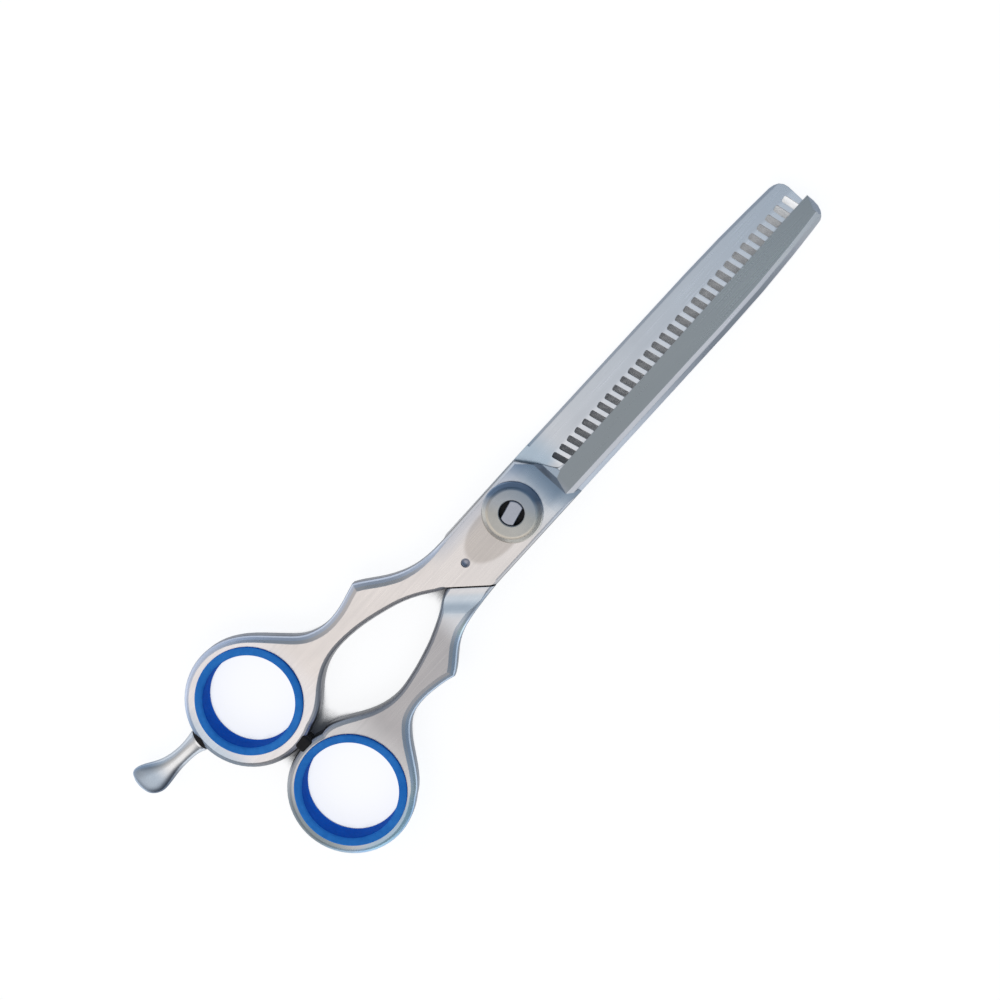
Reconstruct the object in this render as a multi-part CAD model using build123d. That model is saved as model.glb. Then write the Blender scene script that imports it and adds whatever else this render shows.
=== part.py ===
from build123d import *
import os
from math import sin, cos, radians, sqrt, atan2, pi, hypot

# ---------------------------------------------------------------------------
# Thinning shears. Millimetres, +Z up.
# Origin: on the pivot axis, in the plane the shears rest on when laid flat.
# +X points to the tips, +Y to the finger ring's side, +Z to the tension dial.
# The finger blade is the upper member, the thumb blade (with the comb teeth)
# the lower one. The stored pose is closed, with the rings on the bumper.
# ---------------------------------------------------------------------------

# heights
Z_LO = 0.80            # underside of the thumb blade's boss and of both handles
Z_HI = 6.40            # top of the finger blade's boss and of both handles
Z_MATE = 3.60          # plane in which the two blades meet
MATE_GAP = 0.05        # each blade stands this far off the mating plane
Z_F = Z_MATE + MATE_GAP    # underside of the finger blade
Z_T = Z_MATE - MATE_GAP    # upper face of the thumb blade
BEVEL_H = 1.55         # height of the handles' edge bevel

# finger rings
FR_C = (-71.60, 14.75)     # finger ring, centre of the outside
FR_R = 14.95
TR_C = (-71.15, -15.20)    # thumb ring, centre of the outside
TR_R = 14.60
FI_C = (-71.15, 14.98)     # finger ring's hole and insert
FI_LIP_R = 12.30
FI_HOLE_R = 11.35
FI_BORE_R = 10.40
TI_C = (-70.75, -14.95)    # thumb ring's hole and insert
TI_LIP_R = 12.75
TI_HOLE_R = 11.80
TI_BORE_R = 10.85
INSERT_H = 7.20            # insert height, lip to lip

# pivot
DIAL_R_TOP = 5.45
DIAL_R_BASE = 6.70
DIAL_Z0 = 7.00
DIAL_Z1 = 8.45
DIAL_BORE_R = 2.72
BOLT_END_R = 2.66
BOLT_FLAT = 3.20           # across the flats of the bolt's upper end
BOLT_FLAT_ANGLE = 13.0     # degrees from +X
BOLT_JOURNAL_R = 3.00
BOLT_HEAD_R = 5.00
BOLT_HEAD_TOP = 1.70
BUSH_R = 3.90

# comb
N_GAPS = 30
GAP_X0 = 15.20             # centre of the first gap at y = 0.4
GAP_PITCH = 2.400
GAP_PITCH_GROW = 0.00283
GAP_W0 = 1.34
GAP_W1 = 1.46
TOOTH_TIP_Y = -2.70
ROOT_Y0 = 1.90
ROOT_Y1 = 2.25
SLANT0 = 13.0              # degrees the gaps lean towards the tips, first gap
SLANT1 = 9.0               # last gap


# ------------------------------------------------------------------ helpers
def lerp(a, b, t):
    return a + (b - a) * t


def arc_pts(c, r, a0, a1, n):
    return [(c[0] + r * cos(radians(a0 + (a1 - a0) * k / n)),
             c[1] + r * sin(radians(a0 + (a1 - a0) * k / n))) for k in range(n + 1)]


def densify(pts, n):
    """Points at even steps along an open spline through pts."""
    e = Edge.make_spline([Vector(x, y, 0) for x, y in pts])
    out = []
    for k in range(n + 1):
        p = e.position_at(k / n)
        out.append((p.X, p.Y))
    return out


def normals(pts):
    """Inward normals of an anticlockwise outline's open run of points."""
    out = []
    m = len(pts)
    for i in range(m):
        a = pts[max(0, i - 1)]
        b = pts[min(m - 1, i + 1)]
        dx, dy = b[0] - a[0], b[1] - a[1]
        l = hypot(dx, dy)
        out.append((-dy / l, dx / l))
    return out


def end_normal(pts, last):
    a, b = (pts[-2], pts[-1]) if last else (pts[0], pts[1])
    dx, dy = b[0] - a[0], b[1] - a[1]
    l = hypot(dx, dy)
    return (-dy / l, dx / l)


def offset_vectors(runs, blend=2.2):
    """Unit inset vectors for every point of every run, mitred at corners."""
    n = len(runs)
    vec = []
    for k, run in enumerate(runs):
        nor = normals(run)
        n_in = end_normal(run, False)
        n_out = end_normal(run, True)
        p_out = end_normal(runs[k - 1], True)
        q_in = end_normal(runs[(k + 1) % n], False)

        def miter(u, v):
            d = 1 + u[0] * v[0] + u[1] * v[1]
            return ((u[0] + v[0]) / d, (u[1] + v[1]) / d)

        m0, m1 = miter(p_out, n_in), miter(n_out, q_in)
        nor[0], nor[-1] = n_in, n_out
        s = [0.0]
        for i in range(1, len(run)):
            s.append(s[-1] + hypot(run[i][0] - run[i - 1][0], run[i][1] - run[i - 1][1]))
        total = s[-1]
        out = []
        for i, v in enumerate(nor):
            b = min(blend, total / 2.0)
            w0 = max(0.0, 1 - s[i] / b)
            w1 = max(0.0, 1 - (total - s[i]) / b)
            x = v[0] + (m0[0] - n_in[0]) * w0 + (m1[0] - n_out[0]) * w1
            y = v[1] + (m0[1] - n_in[1]) * w0 + (m1[1] - n_out[1]) * w1
            out.append((x, y))
        vec.append(out)
    return vec


def section(runs, vecs, widths, f, z):
    """A closed planar face: the outline inset by f times the local width."""
    edges = []
    m = len(runs)
    pts_all = []
    for run, vec, wid in zip(runs, vecs, widths):
        pts_all.append([(p[0] + v[0] * w * f, p[1] + v[1] * w * f) for p, v, w in zip(run, vec, wid)])
    for k in range(m):                       # share the corner points exactly
        pts_all[k][-1] = pts_all[(k + 1) % m][0]
    for pts in pts_all:
        v = [Vector(x, y, z) for x, y in pts]
        edges.append(Edge.make_line(v[0], v[1]) if len(v) == 2 else Edge.make_spline(v))
    return Wire(edges)


def bevelled(runs, widths, z0, z1, h):
    """Solid with the outline as its sides and an edge bevel above and below."""
    vecs = offset_vectors(runs)
    steps = [(1.0, z0), (0.45, z0 + 0.30 * h), (0.12, z0 + 0.66 * h), (0.0, z0 + h),
             (0.0, z1 - h), (0.07, z1 - 0.72 * h), (0.24, z1 - 0.47 * h), (0.58, z1 - 0.22 * h), (1.0, z1)]
    wires = [section(runs, vecs, widths, f, z) for f, z in steps]
    return Solid.make_loft(wires, True)


def prism(pts, z0, z1):
    w = Wire.make_polygon([Vector(x, y, z0) for x, y in pts], close=True)
    return Solid.extrude(Face(w), Vector(0, 0, z1 - z0))


def cyl(c, r, z0, z1):
    return Solid.make_cylinder(r, z1 - z0, Plane((c[0], c[1], z0)))


def yz_loft(stations):
    """Ruled solid through polygons that stand across X: [(x, [(y, z), ...]), ...]."""
    wires = [Wire.make_polygon([Vector(x, y, z) for y, z in poly], close=True) for x, poly in stations]
    return Solid.make_loft(wires, True)


def revolve_z(c, profile):
    """Solid of revolution about a Z axis at c, from (radius, z) points."""
    w = Wire.make_polygon([Vector(c[0] + r, c[1], z) for r, z in profile], close=True)
    return Solid.revolve(Face(w), 360, Axis((c[0], c[1], 0), (0, 0, 1)))


def one(shape):
    s = shape.solids()
    return s[0] if len(s) == 1 else max(s, key=lambda q: q.volume)


def double_d(r, flat, angle, z0, z1):
    body = cyl((0, 0), r, z0, z1)
    w = Rectangle(4 * r, flat).face()
    bar = Solid.extrude(w, Vector(0, 0, z1 - z0)).moved(Location((0, 0, z0), (0, 0, angle)))
    return one(body & bar)


# ------------------------------------------------------- handle outlines
# outlines run anticlockwise seen from above
CROTCH = (-22.20, -0.55)
HEEL_Y = 7.60

# outside of the finger shank from the pivot towards the ring
fin_out_a = [(8.3, 7.22), (4.0, 7.20), (-1.0, 7.17), (-6.0, 7.14), (-10.5, 7.10), (-14.5, 7.10), (-18.45, 7.20),
             (-21.2, 7.52), (-24.0, 8.18), (-27.0, 9.45), (-30.1, 11.33), (-33.0, 13.55), (-35.75, 15.42)]
fin_out_b = [(-35.75, 15.42), (-38.2, 14.86), (-41.0, 14.20), (-44.0, 13.84), (-47.0, 13.98), (-49.6, 14.72),
             (-51.9, 15.93), (-53.9, 17.75), (-55.8, 19.90), (-57.7, 22.05), (-59.75, 24.25)]
a_out = 40.5
ring_out_end = (FR_C[0] + FR_R * cos(radians(53)), FR_C[1] + FR_R * sin(radians(53)))
fin_out_b = fin_out_b + [ring_out_end]
fin_ring = arc_pts(FR_C, FR_R, 53, 292, 40)
fin_in = [fin_ring[-1], (-64.0, 1.34), (-61.72, 2.33), (-59.6, 3.72), (-57.5, 5.31), (-55.4, 6.60), (-53.2, 7.52),
          (-50.6, 8.08), (-47.8, 8.22), (-45.0, 8.05), (-42.35, 7.70), (-39.6, 7.14), (-36.9, 6.42), (-34.2, 5.60),
          (-31.5, 4.62), (-29.0, 3.42), (-26.6, 1.95), (-24.4, 0.45), CROTCH]
heel_corner = (-15.3, -7.30)
fin_heel = [CROTCH, heel_corner]
fin_heel_r = [heel_corner, (-14.6, -7.82), (-13.2, -8.02)]
fin_bot = [(-13.2, -8.02), (13.2, -8.00)]
fin_end = [(13.2, -8.00), (13.2, -0.80)]
fin_diag = [(13.2, -0.80), (11.95, 1.55), (10.95, 3.30), (9.75, 5.15), (8.3, 7.22)]

w_ring = 1.30


def widths_for(run, fn):
    return [fn(x, y) for x, y in run]


def w_outer(x, y):
    # bevel width on the outside of the shank: narrow at the boss, wide at the shank
    if x > -14:
        return 0.75
    if x > -26:
        return lerp(0.75, 1.75, (-14 - x) / 12.0)
    if x > -50:
        return 1.85
    return lerp(1.85, w_ring, min(1.0, (-50 - x) / 12.0))


def w_inner(x, y):
    if x > -25:
        return lerp(0.85, 1.05, min(1.0, max(0.0, (-22 - x) / 4.0)))
    if x > -56:
        return 1.05
    return lerp(1.05, w_ring, min(1.0, (-56 - x) / 8.0))


fin_runs = [densify(fin_out_a, 26), densify(fin_out_b, 20), fin_ring, densify(fin_in, 34),
            fin_heel, densify(fin_heel_r, 4), fin_bot, fin_end, fin_diag]
fin_runs[1][-1] = fin_ring[0]
fin_w = [widths_for(fin_runs[0], w_outer), widths_for(fin_runs[1], w_outer), [w_ring] * len(fin_ring),
         widths_for(fin_runs[3], w_inner), [0.24, 0.24], [0.24, 0.36, 0.52, 0.70, 0.85], [0.85, 0.85], [0.85, 0.30],
         [0.30, 0.34, 0.42, 0.55, 0.75]]
fin_w[3][-1] = 0.24
fin_w[8][-1] = fin_w[0][0]

finger = bevelled(fin_runs, fin_w, Z_LO, Z_HI, BEVEL_H)

# the thumb member's outline, which runs the other way round the pivot
thu_out_a = [(8.3, -8.00), (4.0, -8.00), (-1.0, -8.00), (-6.0, -8.04), (-10.5, -8.07), (-14.5, -8.10), (-18.5, -8.34),
             (-21.2, -8.58), (-24.0, -8.95), (-27.0, -9.62), (-30.2, -11.10), (-33.0, -13.15), (-35.85, -14.92)]
thu_out_b = [(-35.85, -14.92), (-38.2, -14.22), (-41.1, -13.66), (-44.0, -13.36), (-47.0, -13.52), (-49.7, -14.36),
             (-51.9, -15.98), (-53.98, -18.2), (-55.84, -20.62), (-57.7, -22.95), (-59.8, -25.15)]
thu_ring_out = (TR_C[0] + TR_R * cos(radians(-53)), TR_C[1] + TR_R * sin(radians(-53)))
thu_out_b = thu_out_b + [thu_ring_out]
thu_ring = arc_pts(TR_C, TR_R, -53, -292, 40)
thu_in = [thu_ring[-1], (-64.0, -1.52), (-61.72, -2.20), (-59.6, -3.32), (-57.4, -4.70), (-55.2, -6.00), (-53.0, -7.02),
          (-50.6, -7.76), (-47.9, -8.14), (-45.0, -8.02), (-42.35, -7.60), (-39.6, -7.08), (-36.9, -6.40), (-34.2, -5.66),
          (-31.5, -4.70), (-29.0, -3.68), (-26.6, -2.48), (-24.4, -1.22), CROTCH]
thu_heel_corner = (-15.3, 6.75)
thu_heel = [CROTCH, thu_heel_corner]
thu_heel_r = [thu_heel_corner, (-14.6, 7.20), (-13.2, 7.38)]
thu_top = [(-13.2, 7.38), (12.6, 7.34)]
thu_end = [(12.6, 7.34), (12.9, 0.40)]
thu_diag = [(12.9, 0.40), (8.3, -8.00)]

thu_runs_cw = [densify(thu_out_a, 26), densify(thu_out_b, 20), thu_ring, densify(thu_in, 34),
               thu_heel, densify(thu_heel_r, 4), thu_top, thu_end, thu_diag]
thu_runs_cw[1][-1] = thu_ring[0]
thu_w_cw = [[w_outer(x, y) for x, y in thu_runs_cw[0]], [w_outer(x, y) for x, y in thu_runs_cw[1]],
            [w_ring] * len(thu_ring), [w_inner(x, y) for x, y in thu_runs_cw[3]],
            [0.75, 0.75], [0.75] * 5, [0.75, 0.75], [0.45, 0.45], [0.45, 0.75]]
thu_w_cw[7][0] = 0.75
thu_w_cw[8][-1] = thu_w_cw[0][0]
thu_runs = [list(reversed(r)) for r in reversed(thu_runs_cw)]
thu_w = [list(reversed(r)) for r in reversed(thu_w_cw)]

thumb = bevelled(thu_runs, thu_w, Z_LO, Z_HI, BEVEL_H)

# halve each member where it crosses the other: lines run from the crotch
# along each heel
G = 0.18   # side clearance between a heel and the other member's step
cut_f = [(CROTCH[0] - 0.75, CROTCH[1] - 0.2), (-16.1, 6.9), (-15.2, 8.3), (-13.0, 30), (60, 30), (60, -30), (-22.95, -30)]
cut_t = [(CROTCH[0] - 0.55, CROTCH[1] + 0.43), (-22.95, 30), (60, 30), (60, -30), (-14.70, -30), (-14.70, -7.98), (-15.35, -7.355)]
finger = one(finger - prism(cut_f, Z_LO - 1, Z_F))
thumb = one(thumb - prism(cut_t, Z_T, Z_HI + 1))

# shallow scoop across the thumb shank, beside the finger blade's heel: its
# profile runs out level with the top on both sides
SCOOP_W = 2.9           # half width
SCOOP_D = 0.36
SCOOP_C = (-21.90, -4.95)
scoop_pts = [Vector(SCOOP_W * k / 8.0, 0, 0.004 - SCOOP_D * 0.5 * (1 + cos(pi * k / 8.0))) for k in range(-8, 9)]
scoop_face = Face(Wire([Edge.make_spline(scoop_pts), Edge.make_line(scoop_pts[-1], Vector(SCOOP_W, 0, 2)),
                        Edge.make_line(Vector(SCOOP_W, 0, 2), Vector(-SCOOP_W, 0, 2)), Edge.make_line(Vector(-SCOOP_W, 0, 2), scoop_pts[0])]))
scoop = Solid.extrude(scoop_face, Vector(0, 24, 0)).moved(Location((0, -12, 0)))
scoop = scoop.rotate(Axis((0, 0, 0), (0, 0, 1)), 44.0).moved(Location((SCOOP_C[0], SCOOP_C[1], Z_HI)))
thumb = one(thumb - scoop)

# past the dial the boss top rolls down on a large radius, then steps down to a
# thin ledge ahead of the blade's ground face
ROLL_X, ROLL_R = 6.20, 19.0
roll = Solid.make_box(26, 30, 10, Plane((ROLL_X, -15, Z_HI - 3.0)))
roll = roll - Solid.make_cylinder(ROLL_R, 40, Plane((ROLL_X, -20, Z_HI - ROLL_R), x_dir=(1, 0, 0), z_dir=(0, 1, 0)))
finger = one(finger - roll)
STEP_X0, STEP_X1, STEP_X2 = 10.60, 11.65, 13.70
STEP_Y = -5.90
step_cut = Solid.extrude(Face(Wire.make_polygon([
    Vector(STEP_X0 - 0.5, 0, Z_HI + 0.30), Vector(STEP_X1, 0, Z_F + 0.52), Vector(STEP_X2, 0, Z_F + 0.20), Vector(30, 0, Z_F + 0.20),
    Vector(30, 0, 12), Vector(STEP_X0 - 0.5, 0, 12)], close=True)), Vector(0, 30, 0)).moved(Location((0, STEP_Y, 0)))
finger = one(finger - step_cut)

# ------------------------------------------------------------ finger blade
# section across X: edge, land, ridge, spine bevel, side
nb0 = 9.0
nb1 = 92.0


def near_poly(x):
    t = (x - 12.0) / 78.0
    yc = lerp(-1.42, -1.02, t)
    sp = -8.00 if x < 60 else lerp(-8.0, -6.45, ((x - 60) / 30.0) ** 2.0)
    T = lerp(2.20, 1.30, t)
    yr = sp + lerp(2.10, 1.85, t)
    yb = sp + 1.05
    return [(yc, Z_F), (yc, Z_F + 0.16), (yr, Z_F + T), (yb, Z_F + T - 0.32), (sp, Z_F + 0.55), (sp, Z_F)]


blade_f = yz_loft([(x, near_poly(x)) for x in (nb0, 30.0, 60.0, 70.0, 80.0, 86.0, nb1)])
tip_f = [(8.0, -9.0), (63.0, -9.0), (86.0, -9.0), (88.3, -6.75), (89.35, -6.15), (90.1, -5.25), (90.55, -4.1), (90.68, -2.8),
         (90.62, -0.9), (14.6, -0.2), (8.0, -0.2)]
blade_f = one(blade_f & prism(tip_f, Z_F - 1, Z_HI + 1))
# ground end of the tip
tipcut = Solid.extrude(Face(Wire.make_polygon([Vector(89.25, -12, Z_F + 1.05), Vector(90.85, -12, Z_F + 0.10), Vector(94.0, -12, Z_F + 0.10),
                                              Vector(94.0, -12, Z_F + 4), Vector(89.25, -12, Z_F + 4)], close=True)), Vector(0, 20, 0))
blade_f = one(blade_f - tipcut)
# heel of the cutting edge, a thin corner in front of the boss
heel_f = prism([(10.0, -0.6), (13.0, -0.80), (13.6, -1.00), (15.0, -1.38), (15.0, -2.2), (10.0, -2.2)], Z_F, Z_F + 0.18)
finger = one(finger + blade_f + heel_f)

# ------------------------------------------------------------- thumb blade
def far_poly(x):
    t = (x - 12.0) / 78.0
    sp = lerp(7.34, 6.85, min(1.0, max(0.0, (x - 12) / 50.0))) if x < 62 else lerp(6.85, 5.55, ((x - 62) / 28.0) ** 1.6)
    T = lerp(2.60, 1.35, t)
    yr = sp - lerp(2.2, 1.9, t)
    yb = sp - 1.05
    return [(TOOTH_TIP_Y, Z_T), (sp - 0.62, Z_T), (sp, Z_T - 0.38), (sp, Z_T - 0.62), (yb, Z_T - T + 0.32), (yr, Z_T - T),
            (1.2, Z_T - lerp(1.35, 0.95, t)), (TOOTH_TIP_Y, Z_T - 0.42)]


blade_t = yz_loft([(x, far_poly(x)) for x in (11.0, 30.0, 62.0, 72.0, 80.0, 86.0, 91.0)])
tip_t = [(10.0, -4.0), (89.05, -4.0), (89.28, -2.0), (89.35, 3.0), (89.10, 4.10), (88.50, 4.98), (87.60, 5.52), (86.3, 5.85),
         (84.0, 9.0), (10.0, 9.0)]
blade_t = one(blade_t & prism(tip_t, Z_T - 5, Z_T + 1))
# the boss carries no teeth: the comb starts past it
blade_t = one(blade_t - prism([(9.0, -5.0), (13.9, -5.0), (13.55, -1.0), (12.6, 0.1), (9.0, 0.1)], Z_T - 5, Z_T + 1))
thumb = one(thumb + blade_t)

# gaps of the comb, each with a flattened round root, leaning towards the tips
gaps = []
for i in range(N_GAPS):
    t = i / (N_GAPS - 1)
    xc = GAP_X0 + GAP_PITCH * i + GAP_PITCH_GROW * i * i
    w = lerp(GAP_W0, GAP_W1, t)
    root = lerp(ROOT_Y0, ROOT_Y1, t)
    sl = radians(lerp(SLANT0, SLANT1, t))
    r = w / 2.0
    top = root - r - 0.4            # along the gap, from y = 0.4 to the root's centre
    L = 3.6
    rc = 0.52 * r                   # corner radius of the root
    slot = Solid.make_box(w, L + top + r - rc, 8, Plane((-r, -L, 0)))
    slot = slot + Solid.make_box(w - 2 * rc, L + top + r, 8, Plane((-r + rc, -L, 0)))
    for side in (-1, 1):
        slot = slot + Solid.make_cylinder(rc, 8, Plane((side * (r - rc), top + r - rc, 0)))
    # a small relief at the mouth rounds the tooth tips
    slot = slot.moved(Location((xc, 0.4, Z_T - 5), (0, 0, lerp(SLANT0, SLANT1, t))))
    gaps.append(slot)
for g in gaps:
    thumb = thumb - g
thumb = one(thumb)

# ------------------------------------------------------------------ pivot
# thumb blade: keyed hole and counterbore for the bolt's head
thumb = thumb - cyl((0, 0), BOLT_HEAD_R + 0.04, Z_LO - 1, BOLT_HEAD_TOP + 0.02)
key = double_d(3.0, 4.6, BOLT_FLAT_ANGLE, BOLT_HEAD_TOP, Z_T)
thumb = thumb - double_d(3.03, 4.66, BOLT_FLAT_ANGLE, 0, Z_T + 1)
# seat of the glide washer
GLIDE_R = 5.2
thumb = one(thumb - cyl((0, 0), GLIDE_R + 0.05, Z_T - 0.35, Z_T + 1))

# finger blade: bore for the bushing
finger = one(finger - cyl((0, 0), BUSH_R, Z_F - 1, Z_HI + 1))
bush = cyl((0, 0), BUSH_R, Z_F, Z_HI) - cyl((0, 0), BOLT_JOURNAL_R + 0.05, Z_F - 1, Z_HI + 1)
bush = one(bush)

glide = one(cyl((0, 0), GLIDE_R, Z_T - 0.35, Z_F - 0.01) - cyl((0, 0), BOLT_JOURNAL_R + 0.08, 0, 10))

bolt = revolve_z((0, 0), [(0, 0), (BOLT_HEAD_R - 0.35, 0), (BOLT_HEAD_R, 0.35), (BOLT_HEAD_R, BOLT_HEAD_TOP), (0, BOLT_HEAD_TOP)])
bolt = bolt + key + cyl((0, 0), BOLT_JOURNAL_R, Z_T - 0.0, Z_HI)
bolt_end = double_d(BOLT_END_R, BOLT_FLAT, BOLT_FLAT_ANGLE, Z_HI, DIAL_Z1 - 0.12)
bolt = one(bolt + bolt_end)
try:
    bolt = one(chamfer(bolt.edges().filter_by(lambda e: abs(e.center().Z - (DIAL_Z1 - 0.12)) < 1e-3), 0.18))
except Exception as err:
    print("bolt end left square:", err)

# keyed washer with a double-D hole, above the finger blade
KW_Z0, KW_Z1 = Z_HI + 0.02, Z_HI + 0.42
keyed = one(cyl((0, 0), 5.2, KW_Z0, KW_Z1) - double_d(BOLT_END_R + 0.03, BOLT_FLAT + 0.06, BOLT_FLAT_ANGLE, Z_HI - 1, Z_HI + 2))

# wave washer: a thin ring whose height rises and falls three times round
SW_Z0, SW_T, SW_AMP = KW_Z1 + 0.02, 0.20, 0.10
n_w = 36
sw_in, sw_out = 3.3, 4.7


def wave_edge(r, z):
    pts = [Vector(r * cos(2 * pi * k / n_w), r * sin(2 * pi * k / n_w), z + SW_AMP * (1 - cos(3 * 2 * pi * k / n_w)) / 2.0) for k in range(n_w)]
    return Edge.make_spline(pts, periodic=True)


def ring_face(e1, e2):
    return Face.make_surface_from_curves(e1, e2)


lo_in, lo_out = wave_edge(sw_in, SW_Z0), wave_edge(sw_out, SW_Z0)
hi_in, hi_out = wave_edge(sw_in, SW_Z0 + SW_T), wave_edge(sw_out, SW_Z0 + SW_T)
wave = Solid(Shell([ring_face(lo_in, lo_out), ring_face(hi_in, hi_out), ring_face(lo_in, hi_in), ring_face(lo_out, hi_out)]))

# tension dial: crowned top, conical flank, a recess below over the two washers
DOME = 0.0120            # fall of the crown per square millimetre of radius


def crown(r):
    return DIAL_Z1 + DOME * DIAL_BORE_R ** 2 - DOME * r * r


dial = revolve_z((0, 0), [
    (DIAL_BORE_R, DIAL_Z1 - 0.30), (DIAL_BORE_R + 0.08, DIAL_Z1 - 0.12), (DIAL_BORE_R + 0.24, crown(DIAL_BORE_R + 0.24)),
    (3.6, crown(3.6)), (4.2, crown(4.2)), (4.7, crown(4.7)), (5.1, crown(5.1)), (5.42, crown(5.42) - 0.05),
    (5.72, crown(5.42) - 0.20), (DIAL_R_BASE - 0.22, Z_HI + 0.92), (DIAL_R_BASE - 0.05, Z_HI + 0.66), (DIAL_R_BASE, Z_HI + 0.50),
    (DIAL_R_BASE, Z_HI + 0.12), (DIAL_R_BASE - 0.15, Z_HI + 0.04), (5.45, Z_HI + 0.04), (5.45, SW_Z0 + SW_T + SW_AMP + 0.02),
    (DIAL_BORE_R, SW_Z0 + SW_T + SW_AMP + 0.02)])

# ride pin: pressed through the finger blade, its end rides on the thumb blade
PIN_C = (-15.15, 0.10)
PIN_R = 1.0
finger = one(finger - cyl(PIN_C, PIN_R, Z_F - 1, Z_HI + 1))
pin = cyl(PIN_C, PIN_R, Z_F - 0.03, Z_HI - 0.42)
dish = Solid.make_sphere(1.5, Plane((PIN_C[0], PIN_C[1], Z_HI + 0.82)))
pin = one(pin - dish)

# ------------------------------------------------------------------ rings
finger = one(finger - cyl(FI_C, FI_HOLE_R, -1, 9))
thumb = one(thumb - cyl(TI_C, TI_HOLE_R, -1, 9))


def insert(c, lip, hole, bore):
    h = INSERT_H
    g = 0.02
    lo, hi = Z_LO - g, Z_HI + g
    prof = [
        (bore + 0.62, 0.0), (lip - 0.38, 0.0), (lip - 0.08, 0.20), (lip, 0.48), (lip, lo),
        (hole - g, lo), (hole - g, hi), (lip, hi), (lip, h - 0.48), (lip - 0.08, h - 0.20), (lip - 0.38, h),
        (bore + 0.62, h), (bore + 0.30, h - 0.10), (bore + 0.08, h - 0.36), (bore, h - 0.85),
        (bore, 0.85), (bore + 0.08, 0.36), (bore + 0.30, 0.10)]
    return revolve_z(c, prof)


fin_insert = insert(FI_C, FI_LIP_R, FI_HOLE_R, FI_BORE_R)
thu_insert = insert(TI_C, TI_LIP_R, TI_HOLE_R, TI_BORE_R)

# ------------------------------------------------------------ finger rest
REST_A = 169.8
rx, ry = cos(radians(REST_A)), sin(radians(REST_A))
REST_Z = 3.62


def rest_plane(s, side=0.0, z=REST_Z):
    """Plane across the rest's axis, s outwards from the finger ring's centre."""
    o = (FR_C[0] + rx * s - ry * side, FR_C[1] + ry * s + rx * side, z)
    return Plane(o, x_dir=(-ry, rx, 0), z_dir=(rx, ry, 0))


STUD_R = 1.25
S0 = FR_R + 0.12      # collar's face
stud_hole = Solid.make_cylinder(STUD_R + 0.02, 3.4, rest_plane(FR_R - 2.9))
finger = one(finger - stud_hole)
# flat spot facing the collar, under the rubber washer
washer_raw = Solid.make_cylinder(2.66, S0 - (FR_R - 1.45), rest_plane(FR_R - 1.45))
finger_grown = finger
rest_washer = one(washer_raw - finger - Solid.make_cylinder(STUD_R + 0.02, 4, rest_plane(FR_R - 2.9)))

stations = [  # distance from the ring's centre, side shift, width, thickness, height
    (S0, 0.00, 5.36, 5.16, 3.62), (S0 + 0.45, 0.00, 5.36, 5.16, 3.62), (S0 + 1.3, 0.00, 4.86, 4.72, 3.62),
    (S0 + 3.0, -0.12, 4.20, 4.20, 3.64), (S0 + 5.6, -0.38, 4.00, 4.00, 3.70), (S0 + 8.0, -0.55, 4.35, 3.85, 3.78),
    (S0 + 10.2, -0.66, 5.25, 3.70, 3.88), (S0 + 12.2, -0.58, 6.45, 3.50, 3.98), (S0 + 14.1, -0.34, 7.45, 3.25, 4.05),
    (S0 + 15.5, -0.02, 7.50, 2.90, 4.10), (S0 + 16.7, 0.30, 6.75, 2.35, 4.12), (S0 + 17.5, 0.50, 5.10, 1.55, 4.12),
    (S0 + 17.98, 0.62, 2.50, 0.60, 4.12)]
wires = []
for s, side, wdt, thk, z in stations:
    wires.append(Wire.make_ellipse(wdt / 2.0, thk / 2.0, rest_plane(s, -side, z)) if wdt > thk else
                 Wire.make_ellipse(wdt / 2.0, thk / 2.0, rest_plane(s, -side, z)))
collar = Solid.make_loft(wires[:2], True)
horn = Solid.make_loft(wires[1:], False)
rest = one(collar + horn + Solid.make_cylinder(STUD_R, S0 - (FR_R - 2.7), rest_plane(FR_R - 2.7)))

# ---------------------------------------------------------------- bumper
BUMP_X = -70.25
BUMP_W = 3.60           # along the ring
BUMP_Y0, BUMP_Y1 = -1.50, 1.42    # from over the thumb ring's bevel to over the finger ring's
BUMP_Z0, BUMP_Z1 = 1.15, 6.22
BUMP_CLEAR = 0.04       # the thumb ring stops this far off it
# rubber pad between the rings, its stem pushed in a hole in the finger ring's wall
stem_plane = Plane((BUMP_X, 2.40, Z_MATE), x_dir=(1, 0, 0), z_dir=(0, -1, 0))
finger = one(finger - Solid.make_cylinder(1.02, 2.6, stem_plane))
pad = Solid.make_box(BUMP_W, BUMP_Y1 - BUMP_Y0, BUMP_Z1 - BUMP_Z0, Plane((BUMP_X - BUMP_W / 2.0, BUMP_Y0, BUMP_Z0)))
pad = one(fillet(pad.edges().filter_by(Axis.Y), 0.75))
pad = pad - finger
for k in range(1, 3):
    pad = pad - thumb.moved(Location((0, BUMP_CLEAR / k, 0)))
bumper = one(one(pad) + Solid.make_cylinder(1.0, 1.9, Plane((BUMP_X, 2.35, Z_MATE), x_dir=(1, 0, 0), z_dir=(0, -1, 0))))

# ---------------------------------------------------------------- export
os.makedirs("parts", exist_ok=True)
nodes = {
    "finger_blade": finger, "thumb_blade": thumb,
    "finger_ring_insert": fin_insert, "thumb_ring_insert": thu_insert,
    "finger_rest": rest, "finger_rest_washer": rest_washer, "bumper": bumper,
    "pivot_bolt": bolt, "pivot_bushing": bush, "glide_washer": glide,
    "keyed_washer": keyed, "spring_washer": wave, "tension_dial": dial, "ride_pin": pin,
}
for name, shape in nodes.items():
    export_step(shape, "parts/%s.step" % name)
    bb = shape.bounding_box()
    print("%-20s vol %9.2f valid %s  x %.2f..%.2f y %.2f..%.2f z %.2f..%.2f" % (
        name, shape.volume, shape.is_valid, bb.min.X, bb.max.X, bb.min.Y, bb.max.Y, bb.min.Z, bb.max.Z))
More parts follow.
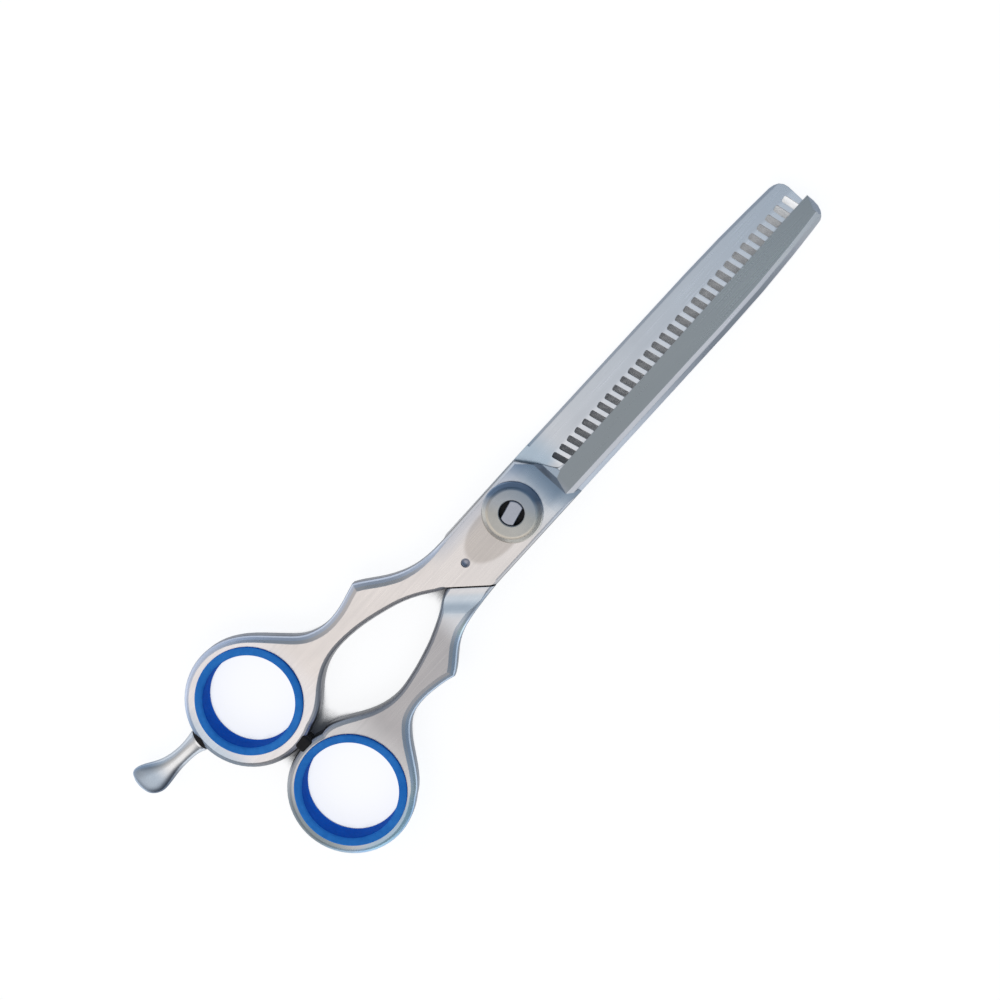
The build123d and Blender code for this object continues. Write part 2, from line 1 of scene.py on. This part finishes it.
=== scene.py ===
import math
import bpy
import bmesh
import numpy as np
from mathutils import Matrix, Vector

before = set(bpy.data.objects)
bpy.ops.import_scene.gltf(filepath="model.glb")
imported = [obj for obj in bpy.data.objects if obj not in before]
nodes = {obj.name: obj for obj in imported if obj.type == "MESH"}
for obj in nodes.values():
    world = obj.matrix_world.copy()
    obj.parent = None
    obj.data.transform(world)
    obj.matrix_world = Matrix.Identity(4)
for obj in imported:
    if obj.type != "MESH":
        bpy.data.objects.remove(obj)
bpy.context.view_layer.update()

scene = bpy.context.scene
MM = 0.001

# ---------------------------------------------------------------- node helpers


class Mat:
    """A small builder for Principled materials with procedural detail."""

    def __init__(self, name):
        self.m = bpy.data.materials.new(name)
        self.m.use_nodes = True
        self.t = self.m.node_tree
        self.b = self.t.nodes["Principled BSDF"]
        self.coord = self.t.nodes.new("ShaderNodeTexCoord")

    def set(self, **kw):
        for k, v in kw.items():
            self.b.inputs[k.replace("_", " ")].default_value = v
        return self

    def node(self, kind, **kw):
        n = self.t.nodes.new(kind)
        for k, v in kw.items():
            setattr(n, k, v)
        return n

    def link(self, a, b):
        self.t.links.new(a, b)

    def mapped(self, scale=(1, 1, 1), rot=(0, 0, 0), loc=(0, 0, 0)):
        mp = self.node("ShaderNodeMapping")
        mp.inputs["Location"].default_value = loc
        mp.inputs["Rotation"].default_value = rot
        mp.inputs["Scale"].default_value = scale
        self.link(self.coord.outputs["Object"], mp.inputs["Vector"])
        return mp.outputs["Vector"]

    def noise(self, vec, scale, detail=4.0, rough=0.55, dist=0.0):
        n = self.node("ShaderNodeTexNoise")
        n.inputs["Scale"].default_value = scale
        n.inputs["Detail"].default_value = detail
        n.inputs["Roughness"].default_value = rough
        n.inputs["Distortion"].default_value = dist
        self.link(vec, n.inputs["Vector"])
        return n.outputs["Fac"]

    def ramp(self, fac, stops):
        r = self.node("ShaderNodeValToRGB")
        el = r.color_ramp.elements
        el[0].position, el[0].color = stops[0][0], tuple(stops[0][1]) + (1,)
        el[1].position, el[1].color = stops[-1][0], tuple(stops[-1][1]) + (1,)
        for p, c in stops[1:-1]:
            e = el.new(p)
            e.color = tuple(c) + (1,)
        self.link(fac, r.inputs["Fac"])
        return r.outputs["Color"]

    def range(self, v, a, b, c, d, clamp=True, smooth=False):
        n = self.node("ShaderNodeMapRange", clamp=clamp)
        if smooth:
            n.interpolation_type = "SMOOTHSTEP"
        for k, x in zip(("From Min", "From Max", "To Min", "To Max"), (a, b, c, d)):
            n.inputs[k].default_value = x
        self.link(v, n.inputs["Value"])
        return n.outputs["Result"]

    def math(self, op, a, b=None, c=None):
        n = self.node("ShaderNodeMath", operation=op)
        for i, x in enumerate((a, b, c)):
            if x is None:
                continue
            if isinstance(x, (int, float)):
                n.inputs[i].default_value = x
            else:
                self.link(x, n.inputs[i])
        return n.outputs[0]

    def mixc(self, fac, a, b, blend="MIX"):
        n = self.node("ShaderNodeMix", data_type="RGBA", blend_type=blend)
        for s, x in (("Factor", fac), ("A", a), ("B", b)):
            sock = [q for q in n.inputs if q.name == s and q.enabled][0]
            if hasattr(x, "is_output") or hasattr(x, "links"):
                self.link(x, sock)
            else:
                sock.default_value = x if isinstance(x, (int, float)) else tuple(x) + ((1,) if len(x) == 3 else ())
        return [q for q in n.outputs if q.enabled][0]

    def xyz(self):
        s = self.node("ShaderNodeSeparateXYZ")
        self.link(self.coord.outputs["Object"], s.inputs[0])
        return s.outputs

    def up(self):
        """How far the surface faces +Z, in the object's own frame."""
        s = self.node("ShaderNodeSeparateXYZ")
        self.link(self.coord.outputs["Normal"], s.inputs[0])
        return self.math("ABSOLUTE", s.outputs[2])

    def facing(self, axis):
        s = self.node("ShaderNodeSeparateXYZ")
        self.link(self.coord.outputs["Normal"], s.inputs[0])
        return s.outputs[axis]

    def rounded(self, radius_mm, samples=4):
        n = self.node("ShaderNodeBevel")
        n.samples = samples
        n.inputs["Radius"].default_value = radius_mm * MM
        return n.outputs["Normal"]

    def bump(self, height, strength, dist_mm, normal=None):
        n = self.node("ShaderNodeBump")
        n.inputs["Strength"].default_value = strength
        n.inputs["Distance"].default_value = dist_mm * MM
        self.link(height, n.inputs["Height"])
        if normal is not None:
            self.link(normal, n.inputs["Normal"])
        return n.outputs["Normal"]


def assign(node_name, mat):
    o = nodes[node_name]
    if not o.material_slots:
        o.data.materials.append(mat)
    for s in o.material_slots:
        s.material = mat


def steel(name, base, rough, grain_dir="x", grain=0.08, cloud=0.06, wall_shade=0.22, bevel=0.16, zones=None):
    """Satin ground steel: fine grain along one way, faint clouding and hairline
    scratches; steep edges and walls get painted shade, darker and bluer than the flats.
    zones(m, x, y, z, up, col) may paint light, shade and reflection by place on the piece."""
    m = Mat(name)
    m.set(Metallic=1.0)
    long, across = 70.0, 6200.0
    sc = (long, across, across) if grain_dir == "x" else (across, long, across) if grain_dir == "y" else (2400.0,) * 3
    g1 = m.noise(m.mapped(sc), 1.0, 3.0, 0.6)
    g2 = m.noise(m.mapped(tuple(q * 0.31 for q in sc), loc=(0.3, 0.1, 0.7)), 1.0, 2.0, 0.5)
    cl = m.noise(m.mapped((70, 120, 120)), 1.0, 4.0, 0.55)
    fine = m.noise(m.mapped((5200, 5200, 5200)), 1.0, 2.0, 0.5)
    mix = m.math("ADD", m.math("MULTIPLY", g1, 0.45), m.math("ADD", m.math("MULTIPLY", g2, 0.30), m.math("MULTIPLY", fine, 0.25)))
    # hairline scratches, a few, slightly off the grain
    sv = m.mapped((45, 3800, 3800), rot=(0, 0, 0.20), loc=(0.13, 0.37, 0.0))
    scr = m.range(m.noise(sv, 1.0, 1.0, 0.4), 0.735, 0.80, 0.0, 1.0)
    X, Y, Z = m.xyz()
    nz = m.up()
    dark = tuple(c * (1 - grain * 0.45) for c in base)
    col = m.mixc(m.range(mix, 0.36, 0.64, 0, 1), dark, base)
    col = m.mixc(m.range(cl, 0.35, 0.7, 0.0, cloud), col, tuple(c * 0.6 for c in base))
    if zones:
        col = zones(m, X, Y, Z, nz, col)
    # painted shade: steep bevels and walls darker and bluer than the flats
    steep = m.range(nz, 0.955, 0.70, 0.0, 1.0, smooth=True)
    steeper = m.range(nz, 0.72, 0.20, 0.0, 1.0, smooth=True)
    col = m.mixc(steep, col, m.mixc(1.0, col, (0.80, 0.84, 0.90), "MULTIPLY"))
    col = m.mixc(steeper, col, m.mixc(1.0, col, (wall_shade, wall_shade * 1.02, wall_shade * 1.07), "MULTIPLY"))
    col = m.mixc(m.math("MULTIPLY", scr, 0.05), col, tuple(min(1.0, c * 1.25) for c in base))
    m.link(col, m.b.inputs["Base Color"])
    rr = m.math("ADD", m.range(mix, 0.35, 0.65, rough + 0.05, rough - 0.05), m.range(cl, 0.3, 0.7, -0.03, 0.04))
    rr = m.math("ADD", rr, m.math("MULTIPLY", steeper, 0.08))
    m.link(rr, m.b.inputs["Roughness"])
    m.link(m.bump(mix, 0.09, 0.004, m.rounded(bevel)), m.b.inputs["Normal"])
    return m


def finger_zones(m, X, Y, Z, nz, col):
    # painted reflection: the handle and boss keep the warm tone, the blade is painted cooler and bluer
    cool_reflection = m.range(X, -0.004, 0.0085, 0.0, 1.0, smooth=True)
    col = m.mixc(cool_reflection, col, m.mixc(1.0, col, (0.88, 0.97, 1.06), "MULTIPLY"))
    # painted light: the ring brighter and bluer; painted shade: its far end darker and bluer, and a cooler, darker
    # band along the boss's outer edge
    col = m.mixc(m.range(X, -0.055, -0.062, 0.0, 1.0, smooth=True), col, m.mixc(1.0, col, (1.03, 1.06, 1.11), "MULTIPLY"))
    col = m.mixc(m.range(X, -0.0795, -0.0855, 0.0, 1.0, smooth=True), col, m.mixc(1.0, col, (0.66, 0.80, 0.92), "MULTIPLY"))
    flat = m.range(nz, 0.86, 0.93, 0.0, 1.0)
    boss_edge_shade = m.math("MULTIPLY", m.range(Y, 0.0025, 0.0066, 0.0, 1.0, smooth=True), m.range(X, -0.022, -0.014, 0.0, 1.0, smooth=True))
    col = m.mixc(m.math("MULTIPLY", boss_edge_shade, flat), col, m.mixc(1.0, col, (0.76, 0.81, 0.89), "MULTIPLY"))
    # painted shade: the end of the boss past the dial darker and blue-grey
    boss_end_shade = m.math("MULTIPLY", m.range(X, 0.0035, 0.0085, 0.0, 1.0, smooth=True), m.range(X, 0.0112, 0.0106, 0.0, 1.0))
    boss_end_shade = m.math("MULTIPLY", m.math("MULTIPLY", boss_end_shade, flat), m.range(Y, -0.0070, -0.0040, 0.0, 1.0, smooth=True))
    col = m.mixc(boss_end_shade, col, m.mixc(1.0, col, (0.57, 0.64, 0.71), "MULTIPLY"))
    # painted reflection: bevels facing +Y bluer
    bevel_reflection = m.math("MULTIPLY", m.range(nz, 0.93, 0.84, 0.0, 1.0), m.range(X, -0.012, -0.018, 0.0, 1.0))
    bevel_reflection = m.math("MULTIPLY", bevel_reflection, m.range(m.facing(1), 0.0, 0.25, 0.0, 1.0))
    col = m.mixc(bevel_reflection, col, m.mixc(1.0, col, (0.97, 1.07, 1.22), "MULTIPLY"))
    # painted shade: bevels facing -Y round the far end of the ring darker
    far = m.math("MULTIPLY", m.range(nz, 0.90, 0.80, 0.0, 1.0), m.range(X, -0.068, -0.074, 0.0, 1.0))
    far = m.math("MULTIPLY", far, m.range(m.facing(1), 0.45, 0.15, 0.0, 1.0))
    col = m.mixc(far, col, m.mixc(1.0, col, (0.42, 0.43, 0.44), "MULTIPLY"))
    # duller oval round the pivot, left by the dial and the buffing wheel
    u_ = m.math("DIVIDE", m.math("ADD", X, 0.0056), 0.0086)
    v_ = m.math("DIVIDE", Y, 0.0049)
    rad = m.math("ADD", m.math("MULTIPLY", u_, u_), m.math("MULTIPLY", v_, v_))
    oval = m.range(rad, 1.12, 0.80, 0.0, 1.0, smooth=True)
    col = m.mixc(oval, col, m.mixc(1.0, col, (0.76, 0.745, 0.725), "MULTIPLY"))
    # painted shade on the hollow-ground face of the blade, and a painted highlight on the spine bevel beside it,
    # stronger toward the tip
    ahead = m.range(X, 0.0108, 0.0122, 0.0, 1.0)
    ny = m.facing(1)
    face_shade = m.math("MULTIPLY", m.math("MULTIPLY", ahead, m.range(ny, 0.06, 0.16, 0.0, 1.0)), m.range(nz, 0.80, 0.88, 0.0, 1.0))
    col = m.mixc(face_shade, col, m.mixc(1.0, col, (0.815, 0.84, 0.815), "MULTIPLY"))
    spine_highlight = m.math("MULTIPLY", ahead, m.range(ny, -0.10, -0.20, 0.0, 1.0))
    spine_highlight = m.math("MULTIPLY", spine_highlight, m.range(nz, 0.84, 0.90, 0.0, 1.0))
    highlight_gain = m.mixc(m.range(X, 0.014, 0.086, 0.0, 1.0), (1.06, 1.04, 1.04), (1.46, 1.36, 1.31))
    return m.mixc(spine_highlight, col, m.mixc(1.0, col, highlight_gain, "MULTIPLY"))


def thumb_zones(m, X, Y, Z, nz, col):
    # painted shade: the shank darker and greyer than the comb; painted light: the ring brighter; painted shade: the
    # ring's far end darker and bluer
    shank_shade = m.range(X, -0.0255, -0.0315, 0.0, 1.0, smooth=True)
    lit_back = m.range(X, -0.053, -0.061, 0.0, 1.0, smooth=True)
    col = m.mixc(shank_shade, col, m.mixc(1.0, col, (0.655, 0.63, 0.62), "MULTIPLY"))
    col = m.mixc(lit_back, col, m.mixc(1.0, col, (1.36, 1.38, 1.37), "MULTIPLY"))
    col = m.mixc(m.range(X, -0.0770, -0.0845, 0.0, 1.0, smooth=True), col, m.mixc(1.0, col, (0.42, 0.50, 0.53), "MULTIPLY"))
    # painted shade: the lower outer part of the ring darker and bluer
    low_shade = m.math("MULTIPLY", m.range(Y, -0.0235, -0.0275, 0.0, 1.0, smooth=True), m.range(X, -0.060, -0.065, 0.0, 1.0))
    col = m.mixc(low_shade, col, m.mixc(1.0, col, (0.64, 0.83, 1.0), "MULTIPLY"))
    # painted reflection: bevels facing -Y brighter and bluer
    ny = m.facing(1)
    bevel_reflection = m.math("MULTIPLY", m.range(nz, 0.93, 0.84, 0.0, 1.0), m.range(ny, -0.10, -0.30, 0.0, 1.0))
    bevel_reflection = m.math("MULTIPLY", bevel_reflection, m.range(X, -0.022, -0.027, 0.0, 1.0))
    col = m.mixc(bevel_reflection, col, m.mixc(1.0, col, (1.45, 1.72, 1.95), "MULTIPLY"))
    # painted reflection: a bluish band in the scoop beside the other blade's heel
    d_ = m.math("ADD", m.math("MULTIPLY", m.math("ADD", X, 0.0222), 0.70), m.math("MULTIPLY", m.math("ADD", Y, 0.00055), 0.715))
    scoop_reflection = m.math("MULTIPLY", m.range(d_, -0.0008, -0.0022, 0.0, 1.0, smooth=True), m.range(d_, -0.0072, -0.0048, 0.0, 1.0, smooth=True))
    scoop_reflection = m.math("MULTIPLY", scoop_reflection, m.range(X, -0.0120, -0.0150, 0.0, 1.0))
    col = m.mixc(scoop_reflection, col, m.mixc(1.0, col, (0.84, 0.93, 1.00), "MULTIPLY"))
    # the teeth coloured brighter than the blade
    teeth = m.math("MULTIPLY", m.range(X, 0.0135, 0.0145, 0.0, 1.0), m.range(Y, 0.0024, 0.0014, 0.0, 1.0, smooth=True))
    col = m.mixc(teeth, col, m.mixc(1.0, col, (1.22, 1.20, 1.18), "MULTIPLY"))
    # painted shade: the comb's root beside the boss darker and bluer
    root_shade = m.math("MULTIPLY", m.range(X, 0.0185, 0.0120, 0.0, 1.0, smooth=True), m.range(X, -0.005, 0.006, 0.0, 1.0))
    root_shade = m.math("MULTIPLY", root_shade, m.range(Y, -0.0005, 0.0020, 0.0, 1.0, smooth=True))
    col = m.mixc(root_shade, col, m.mixc(1.0, col, (0.72, 0.84, 0.93), "MULTIPLY"))
    # painted shade and reflection: the comb darker and cooler toward the tip
    tipward_shade = m.range(X, 0.014, 0.088, 0.0, 1.0)
    return m.mixc(tipward_shade, col, m.mixc(1.0, col, (0.88, 0.92, 0.96), "MULTIPLY"))


def bore_zones(m, X, Y, Z, nz, col):
    # painted shade: the bore and the flats below the top face, down to the washers, near black
    rad = m.math("SQRT", m.math("ADD", m.math("MULTIPLY", X, X), m.math("MULTIPLY", Y, Y)))
    bore_shade = m.math("MULTIPLY", m.range(rad, 0.00285, 0.00278, 0.0, 1.0), m.range(Z, 0.00822, 0.00812, 0.0, 1.0))
    bore_shade = m.math("MULTIPLY", bore_shade, m.range(Z, 0.0046, 0.0050, 0.0, 1.0))
    return m.mixc(bore_shade, col, (0.012, 0.013, 0.016))


def dial_zones(m, X, Y, Z, nz, col):
    # painted light: the handles' side of the dial warmer and brighter, its flank most
    w_ = m.math("ADD", m.math("MULTIPLY", X, 0.82), m.math("MULTIPLY", Y, 0.57))
    rad = m.math("SQRT", m.math("ADD", m.math("MULTIPLY", X, X), m.math("MULTIPLY", Y, Y)))
    lit_back = m.range(w_, 0.0026, -0.0012, 0.0, 1.0, smooth=True)
    col = m.mixc(lit_back, col, m.mixc(1.0, col, (1.02, 0.97, 0.87), "MULTIPLY"))
    lit_flank = m.math("MULTIPLY", m.range(rad, 0.0050, 0.0056, 0.0, 1.0), lit_back)
    col = m.mixc(lit_flank, col, m.mixc(1.0, col, (1.95, 1.80, 1.62), "MULTIPLY"))
    # painted shade: the flank on the tips' side darker and bluer
    front_shade = m.math("MULTIPLY", m.range(rad, 0.0048, 0.0054, 0.0, 1.0), m.range(w_, 0.0020, 0.0036, 0.0, 1.0, smooth=True))
    col = m.mixc(front_shade, col, m.mixc(1.0, col, (0.46, 0.58, 0.73), "MULTIPLY"))
    return bore_zones(m, X, Y, Z, nz, col)


def rest_zones(m, X, Y, Z, nz, col):
    # painted light on the neck, painted shade on the end
    t_ = m.range(X, -0.0945, -0.1000, 0.0, 1.0, smooth=True)
    # painted shade: faces turned to -Y near the end darker
    side_shade = m.math("MULTIPLY", m.range(X, -0.0925, -0.0955, 0.0, 1.0), m.range(m.facing(1), -0.10, -0.55, 0.0, 1.0, smooth=True))
    col = m.mixc(side_shade, col, m.mixc(1.0, col, (0.42, 0.43, 0.46), "MULTIPLY"))
    return m.mixc(t_, m.mixc(1.0, col, (1.38, 1.32, 1.24), "MULTIPLY"), m.mixc(1.0, col, (0.76, 0.84, 0.92), "MULTIPLY"))


# one steel for both blades; the thumb blade's darker, cooler base is painted shade and reflection
finger_steel = steel("finger_blade_steel", (0.83, 0.795, 0.775), 0.30, zones=finger_zones)
thumb_steel = steel("thumb_blade_steel", (0.72, 0.745, 0.78), 0.30, zones=thumb_zones)
def pivot_zones(m, X, Y, Z, nz, col):
    col = bore_zones(m, X, Y, Z, nz, col)
    # painted shade: the ride pin darker, standing in for the shade in its hollow end
    pin_shade = m.range(X, -0.0130, -0.0138, 0.0, 1.0)
    return m.mixc(pin_shade, col, m.mixc(1.0, col, (0.72, 0.74, 0.80), "MULTIPLY"))


rest_steel = steel("rest_steel", (0.60, 0.655, 0.72), 0.20, "n", wall_shade=0.50, zones=rest_zones)
pivot_steel = steel("pivot_steel", (0.43, 0.455, 0.52), 0.26, "n", zones=pivot_zones)
dial_steel = steel("dial_steel", (0.44, 0.475, 0.515), 0.30, "n", grain=0.05, zones=dial_zones, wall_shade=1.0)

oxide = Mat("blackened_steel")
oxide.set(Metallic=0.6)
o1 = oxide.noise(oxide.mapped((2600, 2600, 2600)), 1.0, 4.0, 0.6)
oxide.link(oxide.mixc(o1, (0.008, 0.009, 0.011), (0.020, 0.021, 0.025)), oxide.b.inputs["Base Color"])
oxide.link(oxide.range(o1, 0.3, 0.7, 0.42, 0.60), oxide.b.inputs["Roughness"])
oxide.link(oxide.bump(o1, 0.25, 0.01), oxide.b.inputs["Normal"])

plastic = Mat("insert_blue")
plastic.set(Roughness=0.38, IOR=1.47)
plastic.b.inputs["Specular IOR Level"].default_value = 0.0
plastic.b.inputs["Coat Weight"].default_value = 0.03
plastic.b.inputs["Coat Roughness"].default_value = 0.18
c1 = plastic.noise(plastic.mapped((900, 900, 900)), 1.0, 5.0, 0.6)
c2 = plastic.noise(plastic.mapped((110, 110, 160)), 1.0, 3.0, 0.5)
c3 = plastic.noise(plastic.mapped((4200, 4200, 4200)), 1.0, 2.0, 0.5)
pc = plastic.mixc(plastic.range(c2, 0.3, 0.7, 0, 1), (0.030, 0.240, 0.780), (0.052, 0.310, 0.900))
pc = plastic.mixc(plastic.range(c1, 0.35, 0.65, 0.0, 0.22), pc, (0.001, 0.085, 0.42))
# painted shade: the insert's inner walls darker than the lip
insert_wall_shade = plastic.range(plastic.up(), 0.55, 0.15, 0.0, 1.0, smooth=True)
pc = plastic.mixc(insert_wall_shade, pc, plastic.mixc(1.0, pc, (0.10, 0.40, 0.66), "MULTIPLY"))
plastic.link(pc, plastic.b.inputs["Base Color"])
plastic.link(plastic.range(c1, 0.3, 0.7, 0.34, 0.50), plastic.b.inputs["Roughness"])
pb = plastic.bump(c3, 0.10, 0.006, plastic.rounded(0.12))
plastic.link(plastic.bump(c1, 0.22, 0.02, pb), plastic.b.inputs["Normal"])

rubber = Mat("black_rubber")
r1 = rubber.noise(rubber.mapped((1800, 1800, 1800)), 1.0, 5.0, 0.65)
rubber.set(IOR=1.5)
rubber.b.inputs["Specular IOR Level"].default_value = 0.3
rubber.link(rubber.mixc(r1, (0.003, 0.003, 0.0035), (0.012, 0.012, 0.014)), rubber.b.inputs["Base Color"])
rubber.link(rubber.range(r1, 0.3, 0.7, 0.50, 0.72), rubber.b.inputs["Roughness"])
rubber.link(rubber.bump(r1, 0.4, 0.03), rubber.b.inputs["Normal"])

acetal = Mat("slide_plastic")
a1 = acetal.noise(acetal.mapped((1500, 1500, 1500)), 1.0, 4.0, 0.6)
acetal.link(acetal.mixc(a1, (0.72, 0.71, 0.66), (0.80, 0.79, 0.75)), acetal.b.inputs["Base Color"])
acetal.link(acetal.range(a1, 0.3, 0.7, 0.42, 0.55), acetal.b.inputs["Roughness"])
acetal.link(acetal.bump(a1, 0.2, 0.01), acetal.b.inputs["Normal"])

assign("finger_blade", finger_steel.m)
assign("thumb_blade", thumb_steel.m)
assign("finger_rest", rest_steel.m)
assign("tension_dial", dial_steel.m)
for n in ("pivot_bolt", "spring_washer", "ride_pin"):
    assign(n, pivot_steel.m)
assign("keyed_washer", oxide.m)
for n in ("finger_ring_insert", "thumb_ring_insert"):
    assign(n, plastic.m)
for n in ("bumper", "finger_rest_washer"):
    assign(n, rubber.m)
for n in ("pivot_bushing", "glide_washer"):
    assign(n, acetal.m)

# ------------------------------------------------------------------- floor
def grid_plane(name, size, z):
    me = bpy.data.meshes.new(name)
    s = size / 2
    me.from_pydata([(-s, -s, z), (s, -s, z), (s, s, z), (-s, s, z)], [], [(0, 1, 2, 3)])
    o = bpy.data.objects.new(name, me)
    scene.collection.objects.link(o)
    return o


floor = grid_plane("floor", 6.0, -0.00015)
fm = Mat("floor_paper")
f1 = fm.noise(fm.mapped((40, 40, 40)), 1.0, 3.0, 0.5)
fm.link(fm.mixc(f1, (0.325, 0.33, 0.34), (0.345, 0.35, 0.36)), fm.b.inputs["Base Color"])
fm.set(Roughness=0.9)
fm.b.inputs["Specular IOR Level"].default_value = 0.05
# a lit sweep: it glows evenly as a bright backdrop, but the glow is cut where something covers it closely, a painted
# shadow under the parts and in the comb's gaps
ao = fm.node("ShaderNodeAmbientOcclusion")
ao.samples = 24
ao.inputs["Distance"].default_value = 0.0085
glow = fm.range(ao.outputs["AO"], 0.31, 0.41, 0.0, 0.84, smooth=True)
fm.b.inputs["Emission Color"].default_value = (1, 1, 1, 1)
fm.link(glow, fm.b.inputs["Emission Strength"])
floor.data.materials.append(fm.m)

# ------------------------------------------------------------------ camera
CAM_C = np.array([55.7466, 9.3608, 350.0])
CAM_T = np.array([-0.0595, 3.7021, 5.0])
CAM_ROLL = -0.8368529
CAM_F = 1620.36
d = (CAM_T - CAM_C) / np.linalg.norm(CAM_T - CAM_C)
r = np.cross(d, (0, 1, 0)); r /= np.linalg.norm(r)
u = np.cross(r, d)
cc, ss = math.cos(CAM_ROLL), math.sin(CAM_ROLL)
right = cc * r + ss * u
up = -ss * r + cc * u
cam_data = bpy.data.cameras.new("camera")
cam = bpy.data.objects.new("camera", cam_data)
scene.collection.objects.link(cam)
cam.matrix_world = Matrix(((right[0], up[0], -d[0], CAM_C[0] * MM), (right[1], up[1], -d[1], CAM_C[1] * MM),
                           (right[2], up[2], -d[2], CAM_C[2] * MM), (0, 0, 0, 1)))
cam_data.sensor_width = 36.0
cam_data.lens = CAM_F / 1000.0 * 36.0
cam_data.clip_start = 0.01
cam_data.clip_end = 20
scene.camera = cam

# ------------------------------------------------------------------ lights
# a soft studio all round: bright warm overhead on the handles' side, cooler and
# dimmer over the tips, dark low down beyond the tips and in front
world = bpy.data.worlds.new("studio")
scene.world = world
world.use_nodes = True
wt = world.node_tree
bg = wt.nodes["Background"]
wc = wt.nodes.new("ShaderNodeTexCoord")
wsep = wt.nodes.new("ShaderNodeSeparateXYZ")
wt.links.new(wc.outputs["Generated"], wsep.inputs[0])
DX, DY, DZ = wsep.outputs


def wramp(src, stops, lo=-1.0, hi=1.0):
    mr = wt.nodes.new("ShaderNodeMapRange")
    for k, x in zip(("From Min", "From Max", "To Min", "To Max"), (lo, hi, 0.0, 1.0)):
        mr.inputs[k].default_value = x
    wt.links.new(src, mr.inputs["Value"])
    rp = wt.nodes.new("ShaderNodeValToRGB")
    rp.color_ramp.interpolation = "EASE"
    el = rp.color_ramp.elements
    pts = [((p - lo) / (hi - lo), c if isinstance(c, tuple) else (c, c, c)) for p, c in stops]
    el[0].position, el[0].color = pts[0][0], pts[0][1] + (1,)
    el[1].position, el[1].color = pts[-1][0], pts[-1][1] + (1,)
    for p, c in pts[1:-1]:
        e = el.new(p)
        e.color = c + (1,)
    wt.links.new(mr.outputs["Result"], rp.inputs["Fac"])
    return rp.outputs["Color"]


def wmix(fac, a, b, blend="MIX"):
    n = wt.nodes.new("ShaderNodeMix")
    n.data_type, n.blend_type = "RGBA", blend
    for s_, x in (("Factor", fac), ("A", a), ("B", b)):
        sock = [q for q in n.inputs if q.name == s_ and q.enabled][0]
        if isinstance(x, (int, float)):
            sock.default_value = x
        else:
            wt.links.new(x, sock)
    return [q for q in n.outputs if q.enabled][0]


TOP = wramp(DX, [(-0.55, (0.98, 0.92, 0.88)), (-0.33, (1.10, 1.04, 1.01)), (-0.19, (1.02, 0.985, 0.97)), (-0.12, (0.80, 0.81, 0.83)),
                 (0.0, (0.74, 0.77, 0.81)), (0.085, (0.56, 0.62, 0.69)), (0.17, (0.36, 0.44, 0.52)), (0.5, (0.26, 0.33, 0.41))], -0.6, 0.6)
TOP_Y = wramp(DY, [(-0.75, 0.78), (-0.45, 1.02), (-0.1, 1.0), (0.12, 1.0), (0.45, 0.62), (0.75, 0.40)], -0.8, 0.8)
LOW_X = wramp(DX, [(-1.0, (0.50, 0.49, 0.50)), (-0.5, (0.47, 0.48, 0.51)), (0.0, (0.40, 0.44, 0.49)), (0.5, (0.31, 0.35, 0.41)), (1.0, (0.36, 0.39, 0.44))])
LOW_Y = wramp(DY, [(-1.0, 0.50), (-0.5, 0.62), (0.0, 1.0), (0.5, 1.20), (1.0, 1.25)])
UPNESS = wramp(DZ, [(0.30, 0.0), (0.78, 1.0)], 0.0, 1.0)
col = wmix(UPNESS, wmix(1.0, LOW_X, LOW_Y, "MULTIPLY"), wmix(1.0, TOP, TOP_Y, "MULTIPLY"))
wt.links.new(col, bg.inputs["Color"])
bg.inputs["Strength"].default_value = 1.0

scene.view_settings.view_transform = "Standard"
